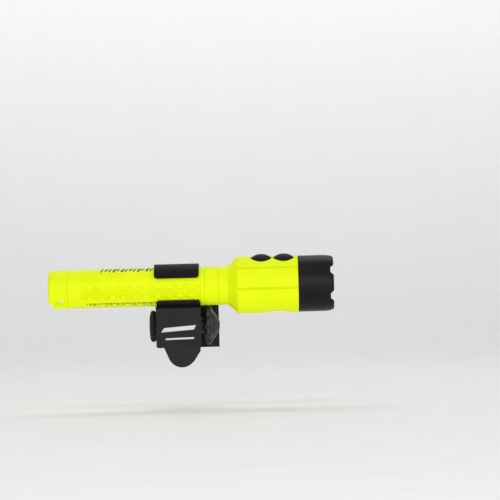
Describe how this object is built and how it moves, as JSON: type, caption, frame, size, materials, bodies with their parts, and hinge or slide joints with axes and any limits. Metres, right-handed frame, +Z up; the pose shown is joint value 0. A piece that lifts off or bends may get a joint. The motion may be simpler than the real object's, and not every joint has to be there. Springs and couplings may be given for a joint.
{
  "type": "firefighter flashlight",
  "caption": "Slim hand light with crowned bezel, push buttons and a flood lamp under its head, held in a sprung clip on a tilting and swivelling helmet mount with a slot blade.",
  "frame": {"origin": "centre of the mount's flat back face, which lies on the side of the helmet", "axes": "+X along the light towards its bezel, -Y away from the helmet, +Z up"},
  "size_m": [0.1894, 0.043, 0.0735],
  "materials": {
    "lime_nylon": "satin moulded nylon, hi-vis yellow-green",
    "black_nylon": "fine-grained moulded nylon",
    "black_bezel": "satin black",
    "black_rubber": "matt",
    "clear_lens": "clear polycarbonate",
    "reflector_chrome": "vacuum metallised",
    "aluminium": "turned",
    "plated_steel": "zinc plated",
    "brass": "bright",
    "circuit_board": "solder mask",
    "led_phosphor": "silicone over phosphor",
    "cell_wrap": "printed film, plain"
  },
  "bodies": {
    "base": {"helmet_pad": "black_rubber", "helmet_base": "black_nylon"},
    "yoke": {"yoke": "black_nylon", "swivel_screw": "plated_steel", "swivel_washer": "plated_steel", "tilt_bolt": "plated_steel", "tilt_nut": "black_nylon", "tilt_washer": "plated_steel"},
    "knob": {"tilt_knob": "black_nylon"},
    "clip": {"clip_body": "black_nylon", "clip_liner": "black_rubber", "lever_pin": "plated_steel", "lever_spring": "plated_steel"},
    "lever": {"lever": "black_nylon", "lever_liner": "black_rubber"},
    "collar": {"neck_collar": "lime_nylon"},
    "light": {"handle_tube": "lime_nylon", "neck_o_ring": "black_rubber", "head_housing": "lime_nylon", "bezel": "black_bezel", "bezel_o_ring": "black_rubber", "lens": "clear_lens", "lens_gasket": "black_rubber", "reflector": "reflector_chrome", "main_led": "led_phosphor", "led_board": "circuit_board", "heat_sink": "aluminium", "battery_carrier": "black_nylon", "aa_cell_rear": "cell_wrap", "aa_cell_middle": "cell_wrap", "aa_cell_front": "cell_wrap", "front_contact": "brass", "control_board": "circuit_board", "button_switches": "plated_steel", "flood_lens": "clear_lens", "flood_gasket": "black_rubber", "flood_led": "led_phosphor", "flood_board": "circuit_board"},
    "rear_button": {"button_rear": "black_rubber"},
    "front_button": {"button_front": "black_rubber"},
    "tail_seal": {"tail_o_ring": "black_rubber"},
    "tail": {"tail_cap": "lime_nylon", "tail_spring": "plated_steel", "tail_contact": "brass"}
  },
  "joints": [
    {"name": "swivel", "type": "hinge", "parent": "base", "child": "yoke", "pos_m": [-0.0061, 0, -0.0053], "axis": [0, -1, 0], "continuous": true},
    {"name": "tilt", "type": "hinge", "parent": "yoke", "child": "clip", "pos_m": [0, -0.0179, -0.0053], "axis": [1, 0, 0], "range_deg": [-5, 30]},
    {"name": "knob_turn", "type": "hinge", "parent": "yoke", "child": "knob", "pos_m": [0, -0.0179, -0.0053], "axis": [1, 0, 0], "range_deg": [0, 360]},
    {"name": "lever_open", "type": "hinge", "parent": "clip", "child": "lever", "pos_m": [0, -0.028, -0.001], "axis": [1, 0, 0], "range_deg": [0, 20], "stiffness_Nm_per_rad": 0.03, "springref_deg": -34.38},
    {"name": "light_slide", "type": "slide", "parent": "clip", "child": "collar", "axis": [1, 0, 0], "range_m": [-0.005, 0.11]},
    {"name": "light_roll", "type": "hinge", "parent": "collar", "child": "light", "pos_m": [0, -0.024, 0.021], "axis": [1, 0, 0], "continuous": true},
    {"name": "rear_button_press", "type": "slide", "parent": "light", "child": "rear_button", "axis": [0, 0.2588, -0.9659], "range_m": [0, 0.0012], "stiffness_N_per_m": 300, "springref_m": -0.001},
    {"name": "front_button_press", "type": "slide", "parent": "light", "child": "front_button", "axis": [0, 0.2588, -0.9659], "range_m": [0, 0.0012], "stiffness_N_per_m": 300, "springref_m": -0.001},
    {"name": "tail_advance", "type": "slide", "parent": "light", "child": "tail_seal", "axis": [-1, 0, 0], "range_m": [0, 0.012]},
    {"name": "tail_turn", "type": "hinge", "parent": "tail_seal", "child": "tail", "pos_m": [0, -0.024, 0.021], "axis": [-1, 0, 0], "range_deg": [0, 2160]}
  ],
  "couplings": [
    {"joint": "tail_turn", "follows": "tail_advance", "rad_per_m": 3141.6}
  ]
}
